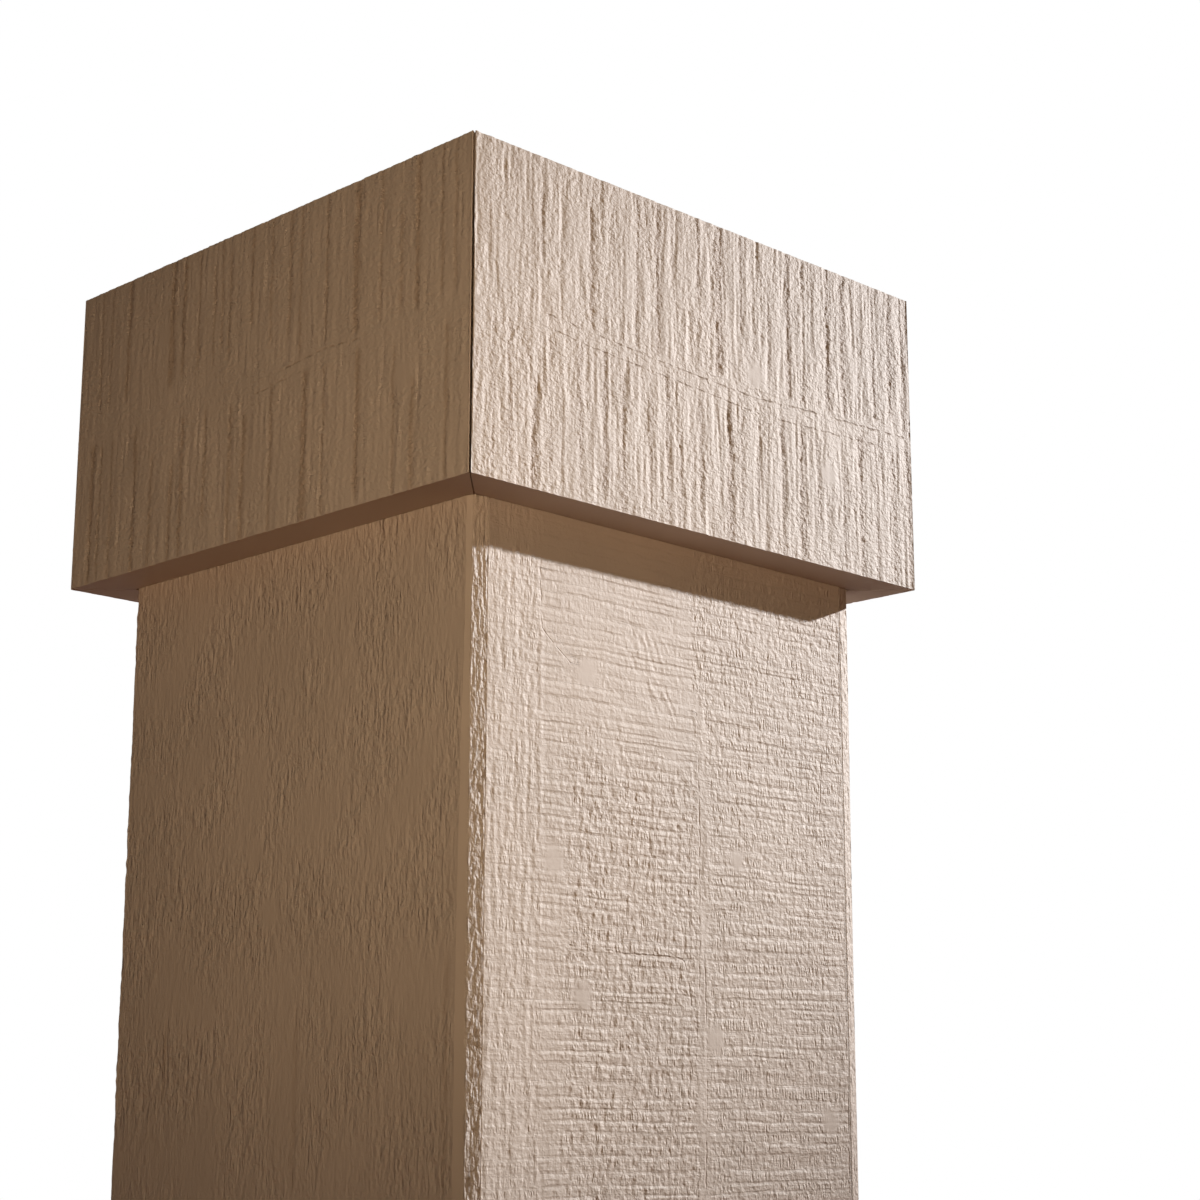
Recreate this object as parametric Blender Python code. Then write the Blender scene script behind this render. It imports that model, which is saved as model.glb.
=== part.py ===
# Square column wrap: a hollow shaft of a three-sided channel and a closing panel, with a mitred boxed capital.
# Metres, +Z up. The origin is at the middle of the open lower end. The closing panel is the front and faces +X,
# so the left side, as seen from in front of it, faces -Y.

import bmesh
import bpy

# Driving dimensions
SHAFT_WIDTH = 0.2032  # 8 in across the flats
BOARD_THICKNESS = 0.01905  # 3/4 in stock, for the shaft's walls and for the capital
CAPITAL_HEIGHT = 0.1227
LENGTH = 1.0  # a length cut from the top of a longer wrap
GAP = 0.0003  # open joint between neighbouring pieces

# The arms of the channel, where they meet the closing panel
LIP_WIDTH = 0.0067  # edge of each arm that shows beside the panel
ARRIS_BEHIND_FACE = 0.0018  # the eased corner's arris, back from the panel's face
ARRIS_INSIDE_SIDE = 0.00085  # and in from the side of the shaft
EASED_SIDE = 0.0035  # where the easing starts on the side of the shaft
BACK_CHAMFER = 0.0021  # the two corners of the channel's back

# Eased outer edges of the capital's mitres and of the panel's long edges
MITRE_EASE = 0.0003
PANEL_EASE = 0.0004

HALF_SHAFT = SHAFT_WIDTH / 2
HALF_CAPITAL = HALF_SHAFT + BOARD_THICKNESS
INNER = HALF_SHAFT - BOARD_THICKNESS  # half the width of the square hollow
LEDGE = INNER - GAP  # the rebate's ledge, behind the closing panel
CAPITAL_UNDERSIDE = LENGTH - CAPITAL_HEIGHT

# Primed rigid urethane, tan
TAN = (0.56, 0.43, 0.32, 1.0)
TAN_LIGHT = (0.58, 0.45, 0.34, 1.0)
TAN_WARM = (0.55, 0.42, 0.31, 1.0)


def clear_scene():
    for obj in list(bpy.data.objects):
        bpy.data.objects.remove(obj, do_unlink=True)


def primed_urethane(name, colour, roughness):
    material = bpy.data.materials.new(name)
    material.use_nodes = True
    shader = material.node_tree.nodes["Principled BSDF"]
    shader.inputs["Base Color"].default_value = colour
    shader.inputs["Roughness"].default_value = roughness
    shader.inputs["Metallic"].default_value = 0.0
    material.diffuse_color = colour
    return material


def prism(name, outline, bottom, top, material):
    """An upright piece: its plan outline, counter-clockwise, extruded from one height to another."""
    mesh = bpy.data.meshes.new(name)
    shape = bmesh.new()
    plan = shape.faces.new([shape.verts.new((x, y, bottom)) for x, y in outline])
    raised = bmesh.ops.extrude_face_region(shape, geom=[plan])["geom"]
    corners = [part for part in raised if isinstance(part, bmesh.types.BMVert)]
    bmesh.ops.translate(shape, verts=corners, vec=(0.0, 0.0, top - bottom))
    bmesh.ops.recalc_face_normals(shape, faces=shape.faces)
    shape.to_mesh(mesh)
    shape.free()
    mesh.materials.append(material)
    piece = bpy.data.objects.new(name, mesh)
    bpy.context.scene.collection.objects.link(piece)
    return piece


def arm_outline():
    """The arm on the -Y side, from the chamfered back corner, round its eased lip, to the hollow's front corner."""
    return [
        (-HALF_SHAFT, -HALF_SHAFT + BACK_CHAMFER),
        (-HALF_SHAFT + BACK_CHAMFER, -HALF_SHAFT),
        (HALF_SHAFT - EASED_SIDE, -HALF_SHAFT),
        (HALF_SHAFT - ARRIS_BEHIND_FACE, -HALF_SHAFT + ARRIS_INSIDE_SIDE),
        (HALF_SHAFT, -HALF_SHAFT + LIP_WIDTH),
        (LEDGE, -HALF_SHAFT + LIP_WIDTH),
        (LEDGE, -INNER),
        (-INNER, -INNER),
    ]


def shaft_channel(material):
    """Three walls in one piece: an arm, its mirror image on the +Y side, and the back between them."""
    near_arm = arm_outline()
    far_arm = [(x, -y) for x, y in reversed(near_arm)]
    return prism("shaft_channel", near_arm + far_arm, 0.0, LENGTH, material)


def shaft_closing_panel(material):
    """A board that lies in the two rebates, flush with the lips, with its outer long edges eased."""
    half_width = HALF_SHAFT - LIP_WIDTH - GAP
    outline = [
        (INNER, -half_width),
        (HALF_SHAFT - PANEL_EASE, -half_width),
        (HALF_SHAFT, -half_width + PANEL_EASE),
        (HALF_SHAFT, half_width - PANEL_EASE),
        (HALF_SHAFT - PANEL_EASE, half_width),
        (INNER, half_width),
    ]
    return prism("shaft_closing_panel", outline, 0.0, LENGTH, material)


def capital_board(name, quarter_turns, material):
    """One side of the capital, drawn on the +X side with both ends mitred, then turned about the shaft's axis."""
    inner_face = HALF_SHAFT + GAP
    mitre_gap = GAP / 2 * 2**0.5  # each end stands back from the diagonal by half the joint
    long_half = HALF_CAPITAL - mitre_gap
    short_half = inner_face - mitre_gap
    outline = [
        (inner_face, -short_half),
        (HALF_CAPITAL - MITRE_EASE, -long_half + MITRE_EASE),
        (HALF_CAPITAL, -long_half + 2 * MITRE_EASE),
        (HALF_CAPITAL, long_half - 2 * MITRE_EASE),
        (HALF_CAPITAL - MITRE_EASE, long_half - MITRE_EASE),
        (inner_face, short_half),
    ]
    for _ in range(quarter_turns):
        outline = [(-y, x) for x, y in outline]
    return prism(name, outline, CAPITAL_UNDERSIDE, LENGTH, material)


def build():
    clear_scene()
    shaft = primed_urethane("primed_urethane_shaft", TAN, 0.6)
    panel = primed_urethane("primed_urethane_panel", TAN_LIGHT, 0.6)
    capital = primed_urethane("primed_urethane_capital", TAN_WARM, 0.6)
    shaft_channel(shaft)
    shaft_closing_panel(panel)
    for turns, side in enumerate(("front", "right", "back", "left")):
        capital_board(f"capital_board_{side}", turns, capital)


build()
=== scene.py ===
import functools
import math

import bpy
import numpy as np
from mathutils import Matrix, Vector


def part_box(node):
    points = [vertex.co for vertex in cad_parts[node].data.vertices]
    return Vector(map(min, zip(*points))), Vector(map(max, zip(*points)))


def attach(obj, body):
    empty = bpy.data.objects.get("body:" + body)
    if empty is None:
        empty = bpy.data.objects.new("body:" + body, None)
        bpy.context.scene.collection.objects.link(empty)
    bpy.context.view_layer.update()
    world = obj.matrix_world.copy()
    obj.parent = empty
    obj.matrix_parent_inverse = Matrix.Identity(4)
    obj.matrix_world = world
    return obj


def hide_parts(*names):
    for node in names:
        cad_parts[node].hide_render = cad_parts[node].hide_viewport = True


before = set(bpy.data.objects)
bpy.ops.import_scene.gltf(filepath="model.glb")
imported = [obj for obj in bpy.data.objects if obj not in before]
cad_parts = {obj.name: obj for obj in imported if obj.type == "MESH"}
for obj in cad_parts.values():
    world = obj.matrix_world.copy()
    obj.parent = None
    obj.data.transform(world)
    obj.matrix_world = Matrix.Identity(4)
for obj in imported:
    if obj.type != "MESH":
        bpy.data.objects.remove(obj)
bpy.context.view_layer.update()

mm = 0.001

# Sizes, all from the frame
channelLow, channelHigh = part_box("shaft_channel")
panelLow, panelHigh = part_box("shaft_closing_panel")
boardLow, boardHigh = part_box("capital_board_front")
shaftHalf = channelHigh.x
capitalHalf = boardHigh.x
wall = capitalHalf - shaftHalf  # the capital's boards and the shaft's walls are the same stock
hollowHalf = shaftHalf - wall
panelHalf = panelHigh.y
lengthTop = channelHigh.z
soffit = boardLow.z
jointGap = 0.3 * mm


# Noise and masks

@functools.lru_cache(maxsize=None)
def slopesTable(seed):  # one unit slope for each point of a 256 by 256 lattice
    angle = np.random.default_rng(seed).uniform(0.0, 2.0 * np.pi, 65536)
    return np.cos(angle).astype(np.float32), np.sin(angle).astype(np.float32)


def wander(x, y, seed):  # gradient noise, about -1 to 1: each lattice point's slope, eased into its neighbours'
    slopeX, slopeY = slopesTable(seed)
    x, y = np.broadcast_arrays(np.asarray(x, np.float32), np.asarray(y, np.float32))
    cellX, cellY = np.floor(x).astype(np.int32), np.floor(y).astype(np.int32)
    inX, inY = x - cellX, y - cellY
    easeX, easeY = (t * t * t * (t * (6.0 * t - 15.0) + 10.0) for t in (inX, inY))

    def corner(stepX, stepY):
        at = (((cellX + stepX) & 255) << 8) | ((cellY + stepY) & 255)
        return slopeX[at] * (inX - stepX) + slopeY[at] * (inY - stepY)

    near = corner(0, 0) * (1.0 - easeX) + corner(1, 0) * easeX
    far = corner(0, 1) * (1.0 - easeX) + corner(1, 1) * easeX
    return 1.6 * (near * (1.0 - easeY) + far * easeY)


def ramp(x, low, high):  # 0 below low, 1 above high, smooth between
    t = np.clip((x - low) / (high - low), 0.0, 1.0)
    return t * t * (3.0 - 2.0 * t)


def between(x, low, high, soft):  # 1 from low to high, falling to 0 over soft on either side
    return ramp(x, low - soft / 2, low + soft / 2) * (1.0 - ramp(x, high - soft / 2, high + soft / 2))


def bell(x):
    return np.exp(-x * x)


def patchesIn(u, v, patches):  # 1 inside each smooth round patch (place across, place down, radius), 0 outside
    calm = 0.0 * u
    for x, y, radius in patches:
        away = np.hypot(u - x, v - y) / radius + 0.25 * wander(u / 4.0, v / 4.0, int(x))
        calm = np.maximum(calm, 1.0 - ramp(away, 0.5, 1.4))
    return 0.85 * calm


def cracksIn(u, v, paths, seed):
    # signed distance in mm from the nearest crack, each drawn through its points, and 5 where none is near
    nearest = 5.0 + 0.0 * u
    for step, path in enumerate(paths):
        points = np.array(path)
        level = np.ptp(points[:, 0]) > np.ptp(points[:, 1])
        along, across = (u, v) if level else (v, u)
        pathAlong, pathAcross = points.T if level else points.T[::-1]
        away = across - np.interp(along, pathAlong, pathAcross) - 0.35 * wander(along / 4.0, step, seed)
        away = away + 0.15 * wander(along / 1.3, step, seed + 1)
        away = np.clip(away if step % 2 else -away, -5.0, 5.0)
        beyond = (along < pathAlong[0]) | (along > pathAlong[-1])
        away = np.where(beyond, np.where(away < 0.0, -5.0, 5.0), away)
        nearest = np.where(np.abs(away) < np.abs(nearest), away, nearest)
    return nearest


def plain(u):  # what a smooth face's points hold for the paint
    return {"height": 0.0 * u, "tornAndShade": 0.0 * u, "fine": 0.0 * u, "crack": 5.0 + 0.0 * u}


# The capital's boards: upright saw ridges in two passes

sawnBoard = {
    "bandEdge": 61.0,  # mm below the top edge, where one pass of the saw ends and the next begins
    "streaks": ((12.0, 0.03), (5.6, 0.08), (3.3, 0.12), (2.1, 0.085)),  # width and height of the long ridges
    "streakLength": 11.0,  # how many times longer than wide
    # width, length and height of the chips
    "chips": ((7.0, 6.0, 0.045), (4.2, 3.6, 0.048), (2.9, 2.2, 0.065), (1.9, 1.6, 0.070), (1.3, 1.2, 0.035)),
    "grooveDepth": 0.17,
    "lineDepth": 0.16,
    "lineSpacing": (3.4, 4.2, 5.6),
}


def sawMarks(u, v, seed, marks, look):
    # long upright ridges that waver, broken by chips, with the deeper marks of the list cut in: place, width, depth
    u = u + 0.45 * wander(u / 12.0, v / 17.0, seed) + 0.30 * wander(u / 4.5, v / 4.5, seed + 1)
    u = u + 0.24 * wander(u / 2.2, v / 1.9, seed + 2)
    height = 0.0
    for step, (width, depth) in enumerate(look["streaks"]):
        height = height + depth * wander(u / width, v / (width * look["streakLength"]), seed + 3 + step)
    for step, spacing in enumerate(look["lineSpacing"]):
        faint = np.clip(0.45 + 1.2 * wander(u / 8.0, v / 22.0, seed + 20 + step), 0.0, 1.1)
        lines = wander(u / spacing, v / 80.0, seed + 12 + step)
        height = height - look["lineDepth"] * faint * bell(lines * spacing / 0.70)
    tornAndShade = 0.0 * u
    for place, width, depth, top, bottom in marks:
        length = ramp(v, top - 5.0, top + 3.0) * (1.0 - ramp(v, bottom - 4.0, bottom + 4.0))
        ragged = 1.0 + 0.8 * wander(u / 1.7 + place, v / 2.1, seed + 10)
        width = width * (1.0 + 0.35 * wander(v / 9.0, place, seed + 11))
        across = (u - place) / width
        cut = np.where(across < 0.0, bell(across / 0.55), bell(across)) * length
        height = height - depth * look["grooveDepth"] * cut * ragged
        # each deep mark's share: it roughens the chips there and darkens the paint as painted shade in the grooves
        tornAndShade = np.maximum(tornAndShade, np.clip(cut * depth, 0.0, 1.0))
    return height, tornAndShade


def chipping(u, v, seed, look):
    height = 0.0
    for step, (width, length, depth) in enumerate(look["chips"]):
        height = height + depth * wander(u / width, v / length, seed + step)
    return height


def capitalFace(u, v, seed, detail, look=sawnBoard):
    edge = look["bandEdge"] + 1.2 * wander(u / 30.0, 0.5, seed) + 0.8 * wander(u / 5.0, v / 9.0, seed + 1)
    inUpper = 1.0 - ramp(v, edge - 3.5, edge + 0.5)
    inLower = ramp(v, edge + 2.0, edge + 7.0)
    upper, tornAndShadeUpper = sawMarks(u, v, seed + 30, detail["upper"], look)
    lower, tornAndShadeLower = sawMarks(u, v, seed + 60, detail["lower"], look)
    strip = 1.0 - np.clip(inUpper + inLower, 0.0, 1.0)
    height = inUpper * upper + (inLower + 0.60 * strip) * lower
    height = height + strip * 0.07 * wander(u / 14.0, v / 1.4, seed + 95)
    # the grooves' share, carried to the paint as painted shade
    tornAndShade = inUpper * tornAndShadeUpper + inLower * tornAndShadeLower
    rough = np.clip(0.85 + 0.9 * wander(u / 14.0, v / 30.0, seed + 96), 0.35, 1.7)
    height = height + (1.0 - 0.35 * strip) * rough * (1.0 + tornAndShade) * chipping(u, v, seed + 97, look)
    calm = patchesIn(u, v, detail["patches"])
    for x, y, radius in detail["pits"]:
        height = height - 0.5 * bell(np.hypot(u - x, v - y) / radius)
    return {
        "height": (1.0 - calm) * detail["roughness"] * height,
        "tornAndShade": tornAndShade,
        "fine": (1.0 - calm) * detail["roughness"] * np.clip(0.6 + 0.4 * rough + 0.5 * tornAndShade, 0.4, 1.6),
        "crack": cracksIn(u, v, detail["cracks"], seed + 98),
    }


# Deeper saw marks as place across the board, width, depth (a share of grooveDepth), top and bottom, in mm
frontDetail = {
    "roughness": 1.0,
    "upper": (
        (19.5, 0.9, 0.8, 0, 14), (32.5, 1.3, 1.1, 14, 38), (57.0, 1.2, 0.8, 12, 62), (68.0, 0.8, 0.5, 0, 60),
        (80.5, 0.8, 0.9, 0, 60), (91.0, 1.6, 1.2, 0, 60), (99.0, 1.0, 0.9, 0, 30), (113.0, 1.3, 1.0, 0, 32),
        (124.0, 2.4, 1.5, 0, 60), (137.0, 1.2, 0.8, 0, 40), (153.0, 1.4, 1.0, 24, 52), (164.0, 1.9, 1.3, 0, 60),
        (173.0, 1.0, 0.7, 0, 60), (188.0, 1.6, 1.1, 0, 60), (197.5, 2.0, 1.4, 0, 60), (207.0, 1.0, 0.7, 10, 60),
        (217.0, 1.2, 0.8, 0, 60), (227.0, 1.8, 1.2, 0, 55), (236.0, 1.2, 0.9, 0, 60),
    ),
    "lower": (
        (10.0, 1.0, 0.6, 66, 125), (17.5, 1.1, 0.8, 66, 125), (29.5, 2.0, 1.2, 84, 125), (37.0, 0.9, 0.6, 66, 125),
        (51.5, 1.2, 0.9, 62, 125), (63.5, 2.0, 1.1, 66, 118), (73.0, 1.4, 0.9, 70, 125), (87.0, 0.9, 0.6, 66, 125),
        (96.0, 1.2, 1.0, 66, 125), (103.0, 1.0, 0.7, 88, 125), (114.0, 1.4, 0.8, 72, 118), (129.5, 2.2, 1.3, 72, 125),
        (137.0, 1.1, 0.8, 72, 118), (146.0, 1.2, 0.8, 80, 118), (160.0, 1.6, 1.1, 70, 125), (171.5, 2.0, 1.5, 70, 125),
        (181.0, 1.4, 0.9, 74, 110), (197.0, 1.2, 0.8, 80, 118), (207.5, 1.8, 1.2, 62, 125), (217.0, 1.2, 0.8, 66, 125),
        (228.0, 1.6, 1.0, 70, 125), (237.5, 1.4, 1.0, 66, 125),
    ),
    "cracks": (
        ((32, 58), (93, 62), (145, 64), (167, 62.5), (241, 60)),
        ((35, 63), (55, 65), (93, 67), (150, 70), (217, 67)),
        ((91, 22), (90.5, 33)),
    ),
    "patches": ((145, 55, 5), (187, 85, 5)),
    "pits": ((39, 18.5, 0.6), (107.8, 39, 0.5), (102.6, 92, 0.6), (171, 83, 0.7), (217, 55, 0.5), (15, 27, 0.7)),
}

leftDetail = {
    "roughness": 1.15,
    "upper": (
        (15.0, 1.2, 0.8, 0, 50), (22.0, 1.0, 0.7, 0, 50), (34.0, 1.6, 1.2, 0, 50), (64.0, 2.4, 1.2, 0, 52),
        (72.0, 1.6, 1.2, 0, 50), (82.0, 1.0, 0.9, 0, 50), (92.0, 1.0, 0.8, 10, 50), (97.0, 0.9, 0.8, 0, 45),
        (102.0, 1.2, 0.8, 8, 50), (116.0, 1.2, 0.9, 0, 40), (128.0, 1.0, 0.8, 0, 50), (139.0, 1.3, 0.9, 0, 50),
        (146.0, 1.0, 0.9, 0, 60), (161.0, 1.1, 0.9, 0, 58), (178.0, 2.2, 1.1, 0, 60), (192.0, 1.0, 0.8, 0, 56),
        (203.0, 1.1, 0.8, 20, 56), (212.0, 1.6, 1.1, 0, 58), (225.0, 1.1, 0.9, 0, 56), (232.0, 1.0, 0.8, 0, 56),
    ),
    "lower": (
        (12.0, 1.8, 1.2, 62, 125), (18.0, 1.0, 0.8, 66, 125), (26.0, 1.1, 0.8, 66, 125), (42.0, 1.5, 1.1, 62, 125),
        (54.0, 1.4, 0.9, 80, 125), (67.0, 1.5, 1.0, 84, 125), (74.0, 1.3, 1.2, 66, 125), (89.0, 1.2, 0.9, 68, 110),
        (105.0, 1.4, 0.9, 70, 125), (113.0, 1.6, 1.1, 76, 125), (130.0, 1.2, 0.9, 66, 125), (149.5, 2.2, 1.2, 62, 125),
        (161.0, 1.0, 0.8, 66, 125), (180.0, 1.8, 1.1, 62, 120), (200.0, 1.0, 0.8, 70, 125), (210.0, 1.4, 1.0, 84, 125),
        (228.0, 1.2, 0.9, 66, 125),
    ),
    "cracks": (((130, 63), (147, 61), (160, 60), (183, 61)), ((118, 68), (140, 66), (150, 65))),
    "patches": ((205, 80, 6), (60, 30, 5)),
    "pits": (),
}


def evenDetail(seed):  # for the sides away from the camera: marks of the same kind, a step drawn by chance apart
    draw = np.random.default_rng(seed)
    detail = {"roughness": 1.1, "cracks": (((60, 62), (110, 64), (180, 61)),), "patches": (), "pits": ()}
    for band, top, bottom in (("upper", 0.0, 60.0), ("lower", 64.0, 125.0)):
        places = np.cumsum(draw.uniform(3.0, 19.0, 24))
        widths, depths = draw.uniform(0.8, 2.1, 24), draw.uniform(0.4, 1.2, 24)
        tops, bottoms = top + 40.0 * draw.uniform(size=24) ** 3, bottom - 40.0 * draw.uniform(size=24) ** 3
        marks = np.stack([places, widths, depths, tops, bottoms], 1)
        detail[band] = marks[places < 2 * capitalHalf / mm - 3.0]
    return detail


# The closing panel: level saw lines with short upright dashes between them

sawnPanel = {
    "rowPitch": 4.4,  # mm between the level saw lines
    "pitDepth": 0.42,
    "fibreDepth": 0.10,
    "cracks": (
        ((31.5, 20), (32.5, 42), (37, 46), (47, 53)), ((46, 151.5), (75, 152.8), (100, 152.6), (104, 153.5)),
        ((104, 153.5), (106, 158), (108, 170)), ((183, 66), (182.5, 80), (181, 96)), ((195, 22), (194.6, 66)),
        ((194.8, 158), (194.2, 190)), ((195, 192), (194.5, 236)), ((112, 62), (113, 110), (112, 170)),
        ((115, 150), (116, 190), (114.5, 236)),
    ),
    "patches": ((55, 55, 5), (39, 123, 5), (133, 115, 4), (53, 168, 5), (121, 181, 5), (184, 209, 5)),
    "tears": ((68, 71, 12, 4), (73, 87, 9, 4), (86, 42, 12, 9), (92, 60, 9, 6)),  # centre and half size of each
    # level saw rows painted darker across the lit panel: painted shade
    "shadedRows": (36.0, 150.0, 191.0, 220.0),  # mm below the soffit
}


def sawCount(u, v, seed, look):
    # saw lines passed on the way down the shaft, whole at each line: they waver, sag a little and close up in places
    down = v + 0.012 * u + 1.1 * wander(u / 75.0, v / 40.0, seed) + 0.35 * wander(u / 14.0, v / 9.0, seed + 1)
    return down / look["rowPitch"] + 0.45 * wander(down / 13.0, 0.5, seed + 3)


def panelFace(u, v, seed=300, look=sawnPanel):
    count = sawCount(u, v, seed, look)
    edge = 1.5 * wander(v / 22.0, 3.5, seed + 4)
    zoneA = 1.0 - ramp(u + edge, 30.0, 34.5)
    seamFoot = ramp(v, 50.0, 70.0)
    zoneD = ramp(u + edge, 108.0 + 8.0 * seamFoot, 113.0 + 8.0 * seamFoot)
    beyond = ramp(u, 193.5, 195.0)
    middle = np.clip(1.0 - zoneA - ramp(u + edge, 109.0, 112.0), 0.0, 1.0)
    smooth = middle * (1.0 - ramp(v + 9.0 * wander(u / 12.0, v / 20.0, seed + 5) - 0.12 * u, 60.0, 88.0))
    further = ramp(wander(u / 60.0 + 0.3, v / 95.0, seed + 6), -0.05, 0.25) * ramp(v, 240.0, 280.0)
    smooth = np.maximum(smooth, 0.9 * middle * further)
    pitted = middle * (1.0 - smooth) * (0.25 + 0.75 * ramp(u + 1.5 * edge, 38.0, 52.0))
    bundle = between(u + 0.7 * edge, 110.0, 119.0, 3.0) * seamFoot
    calm = patchesIn(u, v, look["patches"])
    inRow = np.sin(np.pi * (count % 1.0)) ** 0.6
    # short deep pits where the fibre ripped out; the paint darkens in them as painted shade
    pit = wander(u / 1.6 + 0.23 * v, v / 3.1, seed + 12) + 0.45 * wander(u / 3.4, v / 6.0, seed + 13)
    pits = np.clip(-0.15 - pit, 0.0, 0.6) * inRow
    height = -look["pitDepth"] * (1.25 * pitted + 0.35 * zoneD + 0.22 * zoneA) * pits
    # upright fibre ridges of the strip by the corner, and of the seams
    waver = u + 0.35 * wander(u / 6.0, v / 9.0, seed + 14) + 0.22 * wander(u / 2.0, v / 2.4, seed + 15)
    ridges = wander(waver / 2.1, v / 26.0, seed + 16) + 0.6 * wander(waver / 1.4, v / 5.0, seed + 17)
    height = height + look["fibreDepth"] * (1.3 * zoneA + 0.9 * bundle + 0.45 * zoneD + 0.6 * pitted + 0.15) * ridges
    tooth = wander(u / 1.5, v / 2.2, seed + 18) + 0.7 * wander(u / 2.7, v / 2.9, seed + 19)
    height = height + 0.095 * (0.6 * zoneA + zoneD + 1.1 * pitted + 0.45) * tooth
    # slanted tears
    for x, y, halfWide, halfTall in look["tears"]:
        here = bell(np.maximum(np.abs(u - x) / halfWide, np.abs(v - y) / halfTall) ** 2)
        height = height + 0.22 * here * wander((u - 0.55 * v) / 1.3, v / 9.0, seed + 22)
    # the board's slow unevenness
    height = height + 0.10 * wander(u / 26.0, v / 38.0, seed + 20) + 0.05 * wander(u / 9.0, v / 11.0, seed + 21)
    height = height + 0.10 * between(u, 31.2, 33.0, 1.0) * between(v, 44.0, 100.0, 30.0)
    # painted shade: darker paint along a few level saw rows, broken up in places
    rowShade = 0.0 * u
    for place in look["shadedRows"]:
        rowShade = np.maximum(rowShade, bell((v - place - 0.012 * u) / 1.6) * between(u, 124.0, 188.0, 8.0))
    ragged = np.clip(0.5 + wander(u / 3.0, v / 2.0, seed + 23), 0.0, 1.0)
    return {
        "height": height * (1.0 - calm),
        # darker paint in the pits and along those rows: painted shade
        "tornAndShade": np.clip(2.2 * pits * pitted + rowShade * ragged, 0.0, 1.0),
        "fine": (1.0 - calm) * np.clip(0.7 * zoneA + 0.9 * zoneD + 0.55 * middle + 0.4 * pitted + 0.8 * bundle, 0.0, 1.2),
        "crack": cracksIn(u, v, look["cracks"], seed + 24),
        "sawCount": count,
        "lines": (1.0 - calm) * np.clip(0.35 * zoneA + 0.9 * middle + 0.9 * zoneD + 0.2 * bundle, 0.0, 1.0),
        "dashes": (1.0 - calm) * np.clip(
            0.6 * zoneA + 0.2 * smooth + 0.8 * pitted + zoneD * (1.0 - 0.7 * beyond) + 0.8 * rowShade, 0.0, 1.6),
    }


# The channel: soft upright fibre on its three sides, rough lips at its arms' ends

sawnChannel = {
    "fibreDepth": 0.26,
    "toothDepth": 0.17,
    "lipDepth": 0.15,
    "lines": (  # upright lines as place from the side's left end, top, bottom, height in mm
        (34, 40, 112, 0.22), (34, 176, 200, -0.25), (114, 50, 60, 0.2), (114, 74, 80, 0.2), (114, 120, 152, 0.2),
        (114, 176, 234, -0.25), (195, 158, 234, -0.25), (62, 330, 420, -0.2), (150, 300, 360, 0.2),
    ),
    "patches": ((86, 114, 6), (96, 136, 6), (60, 170, 6)),
}


def channelFace(u, v, seed, look=sawnChannel):
    waver = u + 0.5 * wander(u / 9.0, v / 14.0, seed) + 0.35 * wander(u / 3.0, v / 3.4, seed + 1)
    calm = np.clip(0.75 + 0.8 * wander(u / 24.0, v / 30.0, seed + 2), 0.25, 1.3)
    calm = calm * (1.0 - patchesIn(u, v, look["patches"]))
    ridges = wander(waver / 2.6, v / 11.0, seed + 3) + 0.5 * wander(waver / 1.7, v / 4.0, seed + 4)
    tooth = wander(u / 1.9, v / 2.6, seed + 5) + 0.8 * wander(u / 3.2, v / 3.6, seed + 6)
    height = calm * (look["fibreDepth"] * ridges + look["toothDepth"] * tooth)
    height = height + 0.09 * wander(u / 24.0, v / 33.0, seed + 7) + 0.05 * wander(u / 8.0, v / 9.0, seed + 8)
    tornAndShade = 0.0 * u
    for step, (place, top, bottom, rise) in enumerate(look["lines"]):
        line = bell((u - place - 0.4 * wander(v / 12.0, step, seed + 10)) / 0.7) * between(v, top, bottom, 8.0)
        height = height + rise * line
        # sunken lines also darken the paint: painted shade
        tornAndShade = np.maximum(tornAndShade, line * (rise < 0.0))
    return {"height": height, "tornAndShade": tornAndShade, "fine": np.clip(calm, 0.0, 1.0), "crack": 5.0 + 0.0 * u}


def lipFace(u, v, seed, look=sawnChannel):
    rough = wander(u / 2.2, v / 3.0, seed) + 0.7 * wander(u / 1.3, v / 1.7, seed + 1)
    made = plain(u)
    # its low spots darken the paint: painted shade
    return {**made, "height": look["lipDepth"] * rough, "tornAndShade": np.clip(-0.5 * rough, 0.0, 0.6), "fine": 1.0 + made["fine"]}


def strewn(faces, along, z, reliefs):
    # each point takes its own face's relief; a point of no face in the list is plain
    made = plain(z)
    for face, relief in reliefs.items():
        here = faces == face
        for key, values in relief(along[here], z[here]).items():
            made.setdefault(key, 0.0 * z)[here] = values
    return made


# Upright pieces: an outline in plan carried up in rows, with every second column dropped where less shows

def runOf(start, end, count, face=None, offset=0.0):
    # count columns from start up to, but not at, end: position in plan, outward direction, face and place along it
    start, end = np.array(start), np.array(end)
    t = np.arange(count)[:, None] / count
    length = np.linalg.norm(end - start)
    along = (end - start) / length
    outward = np.array((along[1], -along[0]))
    return {
        "place": start + t * (end - start),
        "outward": np.repeat(outward[None], count, 0),
        "face": np.full(count, -1 if face is None else face),
        "along": (offset + t[:, 0] * length) / mm,
        "corner": np.arange(count) == 0,
    }


def outlineOf(corners, counts, faces, offsets):
    # a closed outline, counter-clockwise; a corner's column is pushed out half way between its two faces
    runs = []
    for step, start in enumerate(corners):
        end = corners[(step + 1) % len(corners)]
        runs.append(runOf(start, end, counts[step], faces[step], offsets[step]))
    outline = {key: np.concatenate([run[key] for run in runs]) for key in runs[0]}
    turned = outline["outward"] + np.roll(outline["outward"], 1, axis=0)
    turned /= np.maximum(np.linalg.norm(turned, axis=1, keepdims=True), 1e-9)
    share = np.sum(turned * outline["outward"], axis=1, keepdims=True)
    outline["outward"] = turned / np.maximum(share, 0.5)
    return outline


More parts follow.
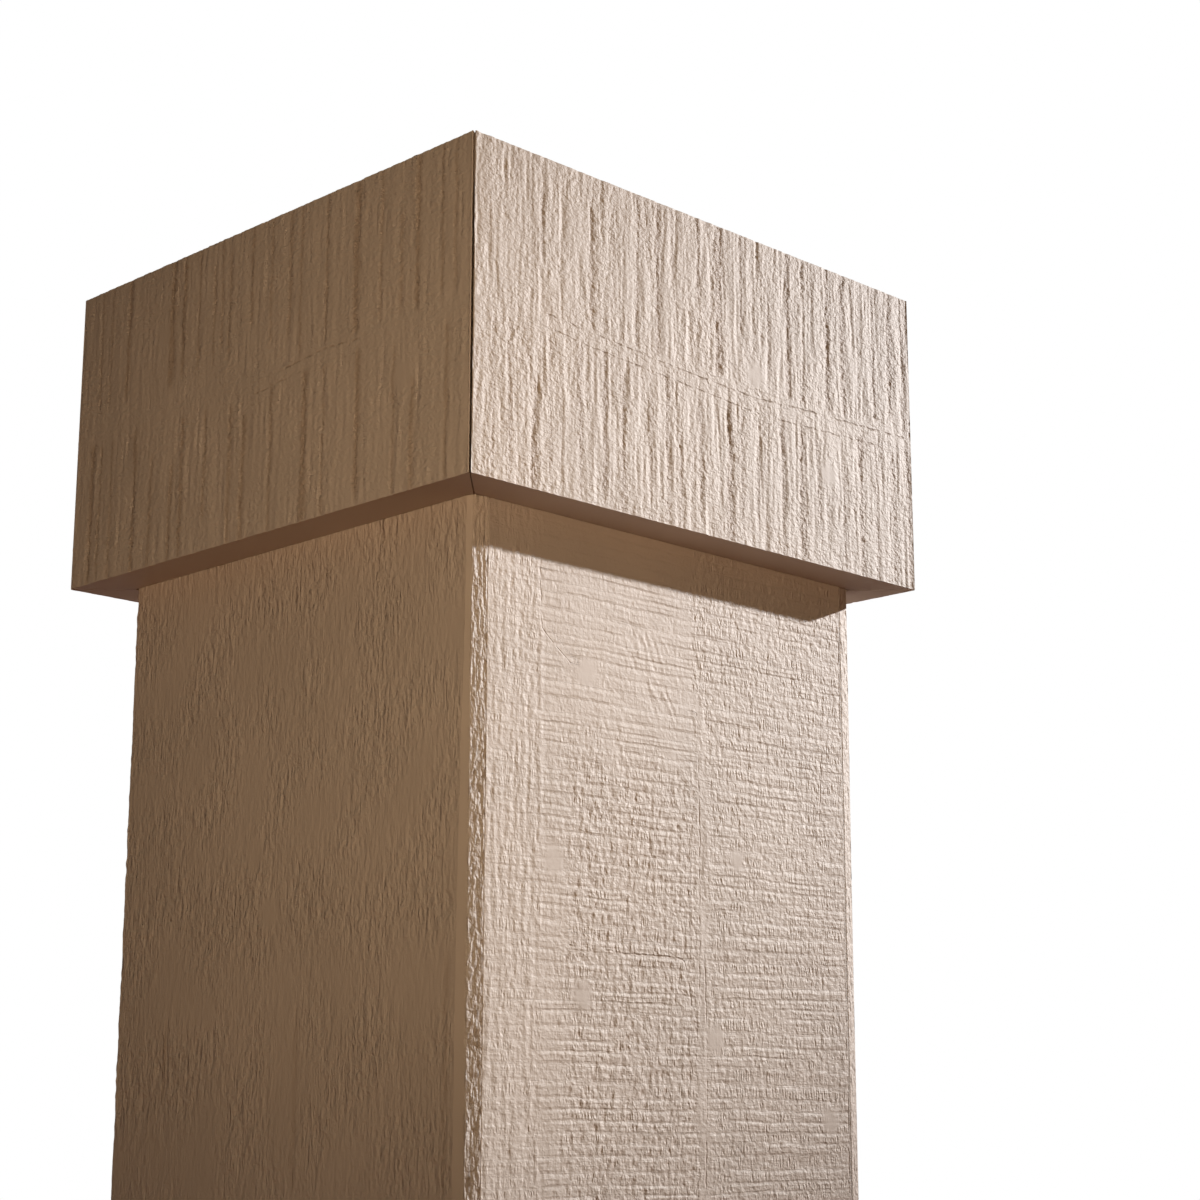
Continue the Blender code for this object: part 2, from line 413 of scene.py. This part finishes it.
def rowsOf(bands):
    # bands of (bottom, top, row pitch, column step), from the bottom up, in metres
    heights, steps = [], []
    for bottom, top, pitch, step in bands:
        count = max(1, round((top - bottom) / pitch))
        heights.append(bottom + (top - bottom) * np.arange(count) / count)
        steps.append(np.full(count, step))
    heights.append([bands[-1][1]])
    steps.append([bands[-1][3]])
    return np.concatenate(heights), np.concatenate(steps).astype(int)


def stitch(lower, upper):
    # faces between two rows of point numbers, of which one may have every second column only
    lowerNext, upperNext = np.roll(lower, -1), np.roll(upper, -1)
    if len(lower) == len(upper):
        return np.stack([lower, lowerNext, upperNext, upper], 1).tolist()
    if len(lower) > len(upper):
        left, middle, right = lower[0::2], lower[1::2], np.roll(lower[0::2], -1)
        corners = (left, middle, upper), (middle, upperNext, upper), (middle, right, upperNext)
    else:
        left, middle, right = upper[0::2], upper[1::2], np.roll(upper[0::2], -1)
        corners = (lower, middle, left), (lower, lowerNext, middle), (lowerNext, right, middle)
    return np.concatenate([np.stack(three, 1) for three in corners]).tolist()


def layer(mesh, name, kind, domain, values):
    mesh.attributes.new(name, kind, domain).data.foreach_set("value", values)


def uprightPiece(name, outline, bands, relief, footOutline, change, turns=0):
    # its plan is outline above the higher of the two heights in change, and footOutline below the lower
    heights, steps = rowsOf(bands)
    sizes = len(outline["along"]) // steps
    starts = np.concatenate([[0], np.cumsum(sizes)])
    rows = [np.arange(start, end) for start, end in zip(starts, starts[1:])]
    columns = np.concatenate([np.arange(0, len(outline["along"]), step) for step in steps])
    z = np.repeat(heights, sizes)
    place = outline["place"][columns]
    share = 1.0 - ramp(z, *change)[:, None]
    place = place + share * (footOutline["place"][columns] - place)
    made = relief(outline["face"][columns], outline["along"][columns], z)
    place = place + outline["outward"][columns] * made.pop("height")[:, None] * mm
    x, y = place.T
    for _ in range(turns):
        x, y = -y, x
    faces = []
    for lower, upper in zip(rows, rows[1:]):
        faces += stitch(lower, upper)
    sides = len(faces)
    faces += [rows[0][::-1].tolist(), rows[-1].tolist()]
    mesh = bpy.data.meshes.new(name)
    mesh.from_pydata(np.stack([x, y, z], 1), [], faces)
    mesh.polygons.foreach_set("use_smooth", np.arange(len(faces)) < sides)
    ends = np.empty(2 * len(mesh.edges), np.int32)
    mesh.edges.foreach_get("vertices", ends)
    ends = columns[ends.reshape(-1, 2)]
    layer(mesh, "sharp_edge", "BOOLEAN", "EDGE", (ends[:, 0] == ends[:, 1]) & outline["corner"][ends[:, 0]])
    for key, values in made.items():
        layer(mesh, key, "FLOAT", "POINT", values.astype(np.float32))
    mesh.update()
    piece = bpy.data.objects.new(name, mesh)
    bpy.context.scene.collection.objects.link(piece)
    print(f"{name}: {len(z)} points, {len(faces)} faces")
    return piece


capitalLook = {
    "mitreGap": 0.75 * mm,  # the joint at the outer faces, where it reads as a dark line
    "mitreMouth": 2.0 * mm,  # how far behind them it has narrowed to its width inside
    "mitreInside": 0.45 * mm,
    "mitreClosed": 0.01 * mm,  # its width inside near the top edge, where no light comes through from behind
    "closing": (30.0 * mm, 12.0 * mm),  # below the top edge, where it starts to close and where it is closed
    "ease": 0.30 * mm,
}


def boardOutline(columns, insideGap):
    # plan of the board on the +X side: its outer edges a little eased, both ends mitred
    ease, mouth = capitalLook["ease"], capitalLook["mitreMouth"]
    inner = shaftHalf + jointGap
    longHalf = capitalHalf - capitalLook["mitreGap"] / math.sqrt(2.0)
    back = insideGap / math.sqrt(2.0)
    half = [
        (capitalHalf, longHalf - 2 * ease), (capitalHalf - ease, longHalf - ease),
        (capitalHalf - mouth, capitalHalf - mouth - back), (inner, inner - back),
    ]
    corners = [(x, -y) for x, y in half[::-1]] + half
    counts = (4, 2, 1, columns, 1, 2, 4, 4)
    faces = (None, None, None, 0, None, None, None, None)
    offsets = (0, 0, 0, capitalHalf - half[0][1], 0, 0, 0, 0)
    return outlineOf(corners, counts, faces, offsets)


def capitalBoard(side, turns, detail, seed, pitchAcross, pitchDown):
    # made on the +X side, then turned to its own
    columns = round(2 * capitalHalf / pitchAcross)
    top = boardOutline(columns, capitalLook["mitreClosed"])
    foot = boardOutline(columns, capitalLook["mitreInside"])
    change = [lengthTop - below for below in capitalLook["closing"]]

    def relief(faces, along, z):
        made = strewn(faces, along, z, {0: lambda u, z: capitalFace(u, (lengthTop - z) / mm, seed, detail)})
        rim = np.minimum(z - soffit, lengthTop - z) < 0.1 * mm
        made["height"] = np.where(faces == 0, np.clip(made["height"] - 0.12, -1.6, 0.5), 0.0)
        for key in ("tornAndShade", "fine"):
            made[key][rim] = 0.0
        made["crack"][rim] = 5.0
        return made

    return uprightPiece(f"capital_{side}", top, [(soffit, lengthTop, pitchDown, 1)], relief, foot, change, turns)


shaftRows = {
    "shown": 245.0 * mm,  # how far below the soffit the finest rows go
    "panelRow": 0.88 * mm,
    "panelColumns": 288,
    "channelRow": 1.25 * mm,
}


def shaftBands(fine, coarse):
    shownFoot = soffit - shaftRows["shown"]
    hidden = soffit + 2 * mm
    return [
        (0.0, shownFoot, coarse, 2), (shownFoot, hidden, fine, 1), (hidden, hidden + 3 * mm, 3 * mm, 2),
        (hidden + 3 * mm, lengthTop, 24 * mm, 4),
    ]


def shaftRelief(reliefs, deepest, highest):
    def relief(faces, along, z):
        made = strewn(faces, along, z, reliefs)
        shows = 1.0 - ramp(z, soffit + 2 * mm, soffit + 5 * mm)
        made["height"] = shows * np.clip(made["height"], deepest, highest)
        for key in ("tornAndShade", "fine"):
            made[key] *= shows * (z > 0.1 * mm)
        return made

    return relief


def closingPanel():
    ease = 0.08 * mm
    corners = [
        (hollowHalf, -panelHalf), (shaftHalf - ease, -panelHalf), (shaftHalf, -panelHalf + ease),
        (shaftHalf, panelHalf - ease), (shaftHalf - ease, panelHalf), (hollowHalf, panelHalf),
    ]
    offset = corners[2][1] + shaftHalf
    counts = (4, 4, shaftRows["panelColumns"], 4, 4, 8)
    outline = outlineOf(corners, counts, (None, None, 0, None, None, None), (0, 0, offset, 0, 0, 0))
    relief = shaftRelief({0: lambda u, z: panelFace(u, (soffit - z) / mm)}, -1.2, 0.3)
    bands = shaftBands(shaftRows["panelRow"], 9.0 * mm)
    return uprightPiece("closing_panel", outline, bands, relief, outline, (0.0, lengthTop))


def channelOutline(easedSide, arrisBack, arrisIn):
    # the U in plan, from its chamfered back corner along the -Y side, round the lips, to the +Y and -X sides
    chamfer = 2.1 * mm
    lip = shaftHalf - panelHalf - jointGap
    ledge = hollowHalf - jointGap
    half = shaftHalf
    outline = [
        (-half, -half + chamfer, 4, None), (-half + chamfer, -half, 144, 0), (half - easedSide, -half, 4, None),
        (half - arrisBack, -half + arrisIn, 12, 3), (half, -half + lip, 4, None), (ledge, -half + lip, 4, None),
        (ledge, -hollowHalf, 4, None), (-hollowHalf, -hollowHalf, 4, None),
        (-hollowHalf, hollowHalf, 4, None), (ledge, hollowHalf, 4, None), (ledge, half - lip, 4, None),
        (half, half - lip, 12, 4), (half - arrisBack, half - arrisIn, 4, None), (half - easedSide, half, 56, 1),
        (-half + chamfer, half, 4, None), (-half, half - chamfer, 56, 2),
    ]
    corners = [(x, y) for x, y, _, _ in outline]
    offsets = [{0: x + half, 1: half - x, 2: half - y}.get(face, 0.0) for x, y, _, face in outline]
    return outlineOf(corners, [run[2] for run in outline], [run[3] for run in outline], offsets)


def shaftChannel():
    top = channelOutline(3.5 * mm, 1.35 * mm, 0.75 * mm)
    foot = channelOutline(6.2 * mm, 1.6 * mm, 1.2 * mm)

    def side(seed):
        return lambda u, z: channelFace(u, (soffit - z) / mm, seed)

    def lip(seed):
        return lambda u, z: lipFace(u, (soffit - z) / mm, seed)

    relief = shaftRelief({0: side(400), 1: side(430), 2: side(460), 3: lip(500), 4: lip(510)}, -1.0, 0.3)
    bands = shaftBands(shaftRows["channelRow"], 4.5 * mm)
    return uprightPiece("channel", top, bands, relief, foot, (soffit - 170.0 * mm, soffit))


# Materials

def linear(hexColour):
    channels = [int(hexColour[at:at + 2], 16) / 255.0 for at in (0, 2, 4)]
    return tuple(c / 12.92 if c <= 0.04045 else ((c + 0.055) / 1.055) ** 2.4 for c in channels) + (1.0,)


def node(tree, kind, settings=(), inputs=()):
    # adds a node: settings are its own, inputs are sockets to link or plain values; gives back its outputs
    made = tree.nodes.new(kind)
    for key, value in dict(settings).items():
        setattr(made, key, value)
    for key, value in dict(inputs).items():
        if isinstance(value, bpy.types.NodeSocket):
            tree.links.new(value, made.inputs[key])
        else:
            made.inputs[key].default_value = value
    return made.outputs


# each finish's shade colour is the darker colour mixed in as painted shade where grooves, pits and cracks lie
primer = {
    "shaft": {
        "colour": "cbbcae", "shadeColour": "9a8068", "roughness": 0.60,
        "fine": ((1.4, 5.0, 0.85), (2.4, 9.0, 0.60), (1.5, 1.6, 0.55)),  # relief across, along and deep, in mm
    },
    "closing_panel": {
        "colour": "cbbcae", "shadeColour": "9a8068", "roughness": 0.60,
        "fine": ((1.1, 3.0, 0.14), (1.5, 1.3, 0.26), (2.6, 1.7, 0.24), (14.0, 1.1, 0.14)),
        "lineDepth": 0.13, "dashDepth": 0.36, "dashWidth": 0.90,
    },
    "capital": {
        "colour": "cbbcae", "shadeColour": "9a8068", "roughness": 0.60,
        "fine": ((1.0, 6.0, 0.09), (1.7, 12.0, 0.08), (1.2, 1.0, 0.22), (2.4, 1.2, 0.26), (1.9, 1.9, 0.24)),
    },
}


def sawRows(tree, where, look, height):
    # level saw lines where the mesh's count is whole, and upright dashes in the rows between them
    count = node(tree, "ShaderNodeAttribute", {"attribute_name": "sawCount"})["Fac"]
    waver = node(tree, "ShaderNodeTexNoise", (), {"Vector": where, "Scale": 1 / 0.005, "Detail": 2.0})[0]
    count = node(tree, "ShaderNodeMath", {"operation": "MULTIPLY_ADD"}, {0: waver, 1: 0.22, 2: count})[0]
    lines = node(tree, "ShaderNodeAttribute", {"attribute_name": "lines"})["Fac"]
    dashes = node(tree, "ShaderNodeAttribute", {"attribute_name": "dashes"})["Fac"]
    along = node(tree, "ShaderNodeSeparateXYZ", (), {0: where})["Y"]
    row = node(tree, "ShaderNodeMath", {"operation": "FLOOR"}, {0: count})[0]
    across = node(tree, "ShaderNodeMath", {"operation": "FRACT"}, {0: count})[0]

    def noise(alongScale, shift, downScale, down, detail):
        x = node(tree, "ShaderNodeMath", {"operation": "MULTIPLY_ADD"}, {0: along, 1: alongScale, 2: shift})[0]
        y = node(tree, "ShaderNodeMath", {"operation": "MULTIPLY_ADD"}, {0: row, 1: downScale, 2: down})[0]
        place = node(tree, "ShaderNodeCombineXYZ", (), {0: x, 1: y})[0]
        return node(tree, "ShaderNodeTexNoise", {"noise_dimensions": "2D"}, {"Vector": place, "Scale": 1.0, "Detail": detail})[0]

    def shaped(points):  # a curve over one row, from line to line, where 0.5 is the board's own level
        made = tree.nodes.new("ShaderNodeValToRGB")
        tree.links.new(across, made.inputs[0])
        made.color_ramp.interpolation = "EASE"
        made.color_ramp.elements[0].position = 0.0
        made.color_ramp.elements[1].position = 1.0
        for at, level in points[1:-1]:
            made.color_ramp.elements.new(at)
        for element, (at, level) in zip(made.color_ramp.elements, points):
            element.color = (level, level, level, 1.0)
        return made.outputs[0]

    def scaled(value, level, amount, strength, sumWith):  # (value - level) * amount * strength, added on
        off = node(tree, "ShaderNodeMath", {"operation": "SUBTRACT"}, {0: value, 1: level})[0]
        more = node(tree, "ShaderNodeMath", {"operation": "MULTIPLY"}, {0: off, 1: amount})[0]
        return node(tree, "ShaderNodeMath", {"operation": "MULTIPLY_ADD"}, {0: more, 1: strength, 2: sumWith})[0]

    # how deep each line is along its length
    depth = node(tree, "ShaderNodeMapRange", (), {
        "Value": noise(1000.0 / 30.0, 0.0, 0.83, 0.0, 2.0), "From Min": 0.36, "From Max": 0.64, "To Min": 0.1, "To Max": 1.6,
    })[0]
    lineShare = node(tree, "ShaderNodeMath", {"operation": "MULTIPLY"}, {0: lines, 1: depth})[0]
    profile = shaped(((0.0, 0.0), (0.08, 0.15), (0.22, 0.5), (0.32, 0.64), (0.50, 0.5), (0.78, 0.5), (0.92, 0.15), (1.0, 0.0)))
    height = scaled(profile, 0.5, 2.0 * look["lineDepth"], lineShare, height)
    # upright dashes, out of step from one row to the next, strong in some rows and faint in others
    shift = node(tree, "ShaderNodeMath", {"operation": "MULTIPLY"}, {0: row, 1: 31.7})[0]
    lean = node(tree, "ShaderNodeMath", {"operation": "MULTIPLY"}, {0: across, 1: 1.3})[0]
    dash = noise(1000.0 / look["dashWidth"], shift, 3.17, lean, 1.5)
    strength = node(tree, "ShaderNodeMapRange", (), {
        "Value": noise(1000.0 / 9.0, 40.0, 0.61, 0.0, 1.0), "From Min": 0.38, "From Max": 0.65, "To Min": 0.1, "To Max": 1.6,
    })[0]
    inRow = shaped(((0.0, 0.0), (0.12, 0.3), (0.3, 1.0), (0.7, 1.0), (0.88, 0.3), (1.0, 0.0)))
    dashShare = node(tree, "ShaderNodeMath", {"operation": "MULTIPLY"}, {0: dashes, 1: strength})[0]
    dashShare = node(tree, "ShaderNodeMath", {"operation": "MULTIPLY"}, {0: dashShare, 1: inRow})[0]
    return scaled(dash, 0.5, look["dashDepth"], dashShare, height)


def primedUrethane(slot):
    # rigid urethane cast against rough-sawn wood, sprayed with a matt tan primer: even colour apart from painted shade
    # in its grooves, pits and cracks, a dry low sheen
    look = primer[slot]
    material = bpy.data.materials.new(f"primed_rigid_urethane_{slot}")
    material.use_nodes = True
    tree = material.node_tree
    shader = tree.nodes["Principled BSDF"]
    shader.inputs["Roughness"].default_value = look["roughness"]
    shader.inputs["IOR"].default_value = 1.5
    where = node(tree, "ShaderNodeTexCoord")["Object"]
    fine = node(tree, "ShaderNodeAttribute", {"attribute_name": "fine"})["Fac"]
    tornAndShade = node(tree, "ShaderNodeAttribute", {"attribute_name": "tornAndShade"})["Fac"]
    crack = node(tree, "ShaderNodeAttribute", {"attribute_name": "crack"})["Fac"]
    # an open crack darkens the paint along it, broken in places: painted shade; it also sinks the bump
    away = node(tree, "ShaderNodeMath", {"operation": "ABSOLUTE"}, {0: crack})[0]
    open_ = node(tree, "ShaderNodeMapRange", {"interpolation_type": "SMOOTHSTEP"}, {
        "Value": away, "From Min": 0.1, "From Max": 0.55, "To Min": 1.0, "To Max": 0.0,
    })[0]
    broken = node(tree, "ShaderNodeTexNoise", (), {"Vector": where, "Scale": 1 / 0.004, "Detail": 1.0})[0]
    broken = node(tree, "ShaderNodeMapRange", (), {"Value": broken, "From Min": 0.40, "From Max": 0.62})[0]
    cracked = node(tree, "ShaderNodeMath", {"operation": "MULTIPLY"}, {0: open_, 1: broken})[0]
    # paint: slow cloudiness, and painted shade: browner in grooves, pits, sunken lines and cracks
    cloudy = node(tree, "ShaderNodeTexNoise", (), {"Vector": where, "Scale": 1 / 0.045, "Detail": 3.0})[0]
    tone = node(tree, "ShaderNodeMapRange", (), {
        "Value": cloudy, "From Min": 0.3, "From Max": 0.7, "To Min": 0.96, "To Max": 1.04,
    })[0]
    # painted shade: how much of the shade colour goes in, from the grooves, pits and cracks
    deep = node(tree, "ShaderNodeMath", {"operation": "MAXIMUM"}, {0: tornAndShade, 1: cracked})[0]
    deep = node(tree, "ShaderNodeMath", {"operation": "MULTIPLY"}, {0: deep, 1: 0.5})[0]
    paint = node(tree, "ShaderNodeMix", {"data_type": "RGBA"}, {
        0: deep, 6: linear(look["colour"]), 7: linear(look["shadeColour"]),
    })[2]
    toned = node(tree, "ShaderNodeVectorMath", {"operation": "SCALE"}, {0: paint, "Scale": tone})[0]
    tree.links.new(toned, shader.inputs["Base Color"])
    # relief too fine for the mesh, in mm
    height = -0.5 * sum(depth for _, _, depth in look["fine"])
    for step, (across, along, depth) in enumerate(look["fine"]):
        stretched = node(tree, "ShaderNodeMapping", (), {
            "Vector": where, "Location": (7.3 * step, 2.1 * step, 0.0), "Scale": (1000 / across, 1000 / across, 1000 / along),
        })[0]
        grain = node(tree, "ShaderNodeTexNoise", (), {"Vector": stretched, "Scale": 1.0, "Detail": 1.0, "Distortion": 0.4})[0]
        height = node(tree, "ShaderNodeMath", {"operation": "MULTIPLY_ADD"}, {0: grain, 1: depth, 2: height})[0]
    height = node(tree, "ShaderNodeMath", {"operation": "MULTIPLY"}, {0: height, 1: fine})[0]
    if "lineDepth" in look:
        height = sawRows(tree, where, look, height)
    height = node(tree, "ShaderNodeMath", {"operation": "MULTIPLY_ADD"}, {0: cracked, 1: -0.22, 2: height})[0]
    normal = node(tree, "ShaderNodeBump", (), {"Strength": 1.0, "Distance": mm, "Height": height})[0]
    tree.links.new(normal, shader.inputs["Normal"])
    return material


# Camera, light and floor

def lensCamera():
    position = Vector((0.6937, -0.6308, 0.6554))
    yaw, pitch, roll = math.radians(45.079), math.radians(13.086), math.radians(0.056)
    ahead = Vector((-math.sin(yaw) * math.cos(pitch), math.cos(yaw) * math.cos(pitch), math.sin(pitch)))
    right = Vector((math.cos(yaw), math.sin(yaw), 0.0))
    up = right.cross(ahead)
    tilted = right * math.cos(roll) + up * math.sin(roll)
    upright = up * math.cos(roll) - right * math.sin(roll)
    camera = bpy.data.objects.new("camera", bpy.data.cameras.new("camera"))
    camera.data.sensor_width = 36.0
    camera.data.lens = 71.73
    camera.data.clip_start = 0.05
    camera.matrix_world = Matrix.Translation(position) @ Matrix((tilted, upright, -ahead)).transposed().to_4x4()
    bpy.context.scene.collection.objects.link(camera)
    bpy.context.scene.camera = camera


lights = {
    "sun": {"towards": (0.357, 0.875, 0.340), "angle": 0.8, "colour": (0.97, 0.93, 0.92), "strength": 3.25},
    "keySpot": {"distance": 4.0, "cone": 8.0, "radius": 0.03, "colour": (0.90, 0.95, 1.0), "power": 420.0},
    "fill": {
        "place": (0.68, -0.78, 0.81), "aim": (0.07, -0.12, 0.855), "cone": 40.0, "radius": 0.05,
        "colour": (1.0, 0.762, 0.49), "power": 13.6,
    },
    "fillLow": {  # the shaft below the fill's circle
        "place": (0.68, -0.78, 0.30), "aim": (0.07, -0.12, 0.30), "cone": 44.0, "radius": 0.05,
        "colour": (1.0, 0.80, 0.58), "power": 11.0,
    },
    "back": {
        "place": (-1.60, 0.50, 1.15), "aim": (-0.10, 0.00, 0.50), "cone": 70.0, "radius": 0.30,
        "colour": (1.0, 0.88, 0.76), "power": 45.0,
    },
    "above": (0.020, 0.035, 0.037),  # linear colour of the room above eye level
    "below": (0.080, 0.016, 0.002),
}


def lamp(name, kind, place, aim, look):
    data = bpy.data.lights.new(name, kind)
    data.color = look["colour"]
    back = (Vector(place) - Vector(aim)).normalized()
    made = bpy.data.objects.new(name, data)
    made.matrix_world = Matrix.Translation(place) @ back.to_track_quat("Z", "Y").to_matrix().to_4x4()
    bpy.context.scene.collection.objects.link(made)
    return data


def spot(name, place, aim, look):
    data = lamp(name, "SPOT", place, aim, look)
    data.energy = look["power"]
    data.spot_size = math.radians(look["cone"])
    data.spot_blend = 1.0
    data.shadow_soft_size = look["radius"]


def studioLight():
    aim = Vector((capitalHalf, -0.05, soffit - 0.055))
    look = lights["sun"]
    towards = Vector(look["towards"]).normalized()
    sun = lamp("key_sun", "SUN", aim + 3.0 * towards, aim, look)
    sun.energy = look["strength"]
    sun.angle = math.radians(look["angle"])
    spot("key_spot", aim + lights["keySpot"]["distance"] * towards, aim, lights["keySpot"])
    for name in ("fill", "fillLow", "back"):
        spot(name, lights[name]["place"], lights[name]["aim"], lights[name])


def paleRoom():
    world = bpy.data.worlds.new("room")
    bpy.context.scene.world = world
    world.use_nodes = True
    tree = world.node_tree
    tree.nodes.clear()
    ray = node(tree, "ShaderNodeLightPath")["Is Camera Ray"]
    direction = node(tree, "ShaderNodeTexCoord")["Generated"]
    upward = node(tree, "ShaderNodeSeparateXYZ", (), {0: direction})["Z"]
    sky = node(tree, "ShaderNodeMapRange", (), {"Value": upward, "From Min": -0.15, "From Max": 0.15})[0]
    mixed = node(tree, "ShaderNodeMix", {"data_type": "RGBA"}, {
        0: sky, 6: (*lights["below"], 1.0), 7: (*lights["above"], 1.0),
    })[2]
    ambient = node(tree, "ShaderNodeBackground", (), {"Color": mixed})[0]
    white = node(tree, "ShaderNodeBackground", (), {"Color": (1.0, 1.0, 1.0, 1.0)})[0]
    shown = node(tree, "ShaderNodeMixShader", (), {0: ray, 1: ambient, 2: white})[0]
    node(tree, "ShaderNodeOutputWorld", (), {"Surface": shown})


def paleFloor():
    mesh = bpy.data.meshes.new("floor")
    turn = np.linspace(0.0, 2.0 * np.pi, 97)[:-1]
    rim = np.stack([3.5 * np.cos(turn), 3.5 * np.sin(turn), np.full(96, -0.4 * mm)], 1)
    mesh.from_pydata(rim, [], [list(range(96))])
    material = bpy.data.materials.new("pale_floor")
    material.use_nodes = True
    shader = material.node_tree.nodes["Principled BSDF"]
    shader.inputs["Base Color"].default_value = linear("efece8")
    shader.inputs["Roughness"].default_value = 0.8
    # kept pale where the camera sees it in shadow, with no light of its own on the column
    ray = node(material.node_tree, "ShaderNodeLightPath")["Is Camera Ray"]
    glow = node(material.node_tree, "ShaderNodeMath", {"operation": "MULTIPLY"}, {0: ray, 1: 0.3})[0]
    shader.inputs["Emission Color"].default_value = linear("efece8")
    material.node_tree.links.new(glow, shader.inputs["Emission Strength"])
    mesh.materials.append(material)
    floor = bpy.data.objects.new("floor", mesh)
    floor.visible_diffuse = False
    bpy.context.scene.collection.objects.link(floor)


def finishPiece(piece, nodeName, material):
    piece.data.materials.append(material)
    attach(piece, "root")
    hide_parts(nodeName)


lensCamera()
studioLight()
paleRoom()
paleFloor()
print("camera, light and floor")

materials = {slot: primedUrethane(slot) for slot in primer}
boards = (
    ("front", 0, frontDetail, 100, 0.56 * mm, 0.62 * mm),
    ("right", 1, evenDetail(7), 140, 0.90 * mm, 0.90 * mm),
    ("back", 2, evenDetail(8), 180, 0.90 * mm, 0.90 * mm),
    ("left", 3, leftDetail, 220, 0.62 * mm, 0.68 * mm),
)
for side, turns, detail, seed, pitchAcross, pitchDown in boards:
    board = capitalBoard(side, turns, detail, seed, pitchAcross, pitchDown)
    finishPiece(board, f"capital_board_{side}", materials["capital"])
print("capital")
finishPiece(closingPanel(), "shaft_closing_panel", materials["closing_panel"])
finishPiece(shaftChannel(), "shaft_channel", materials["shaft"])
print("shaft")

view = bpy.context.scene.view_settings
view.view_transform = "Standard"
view.look = "None"
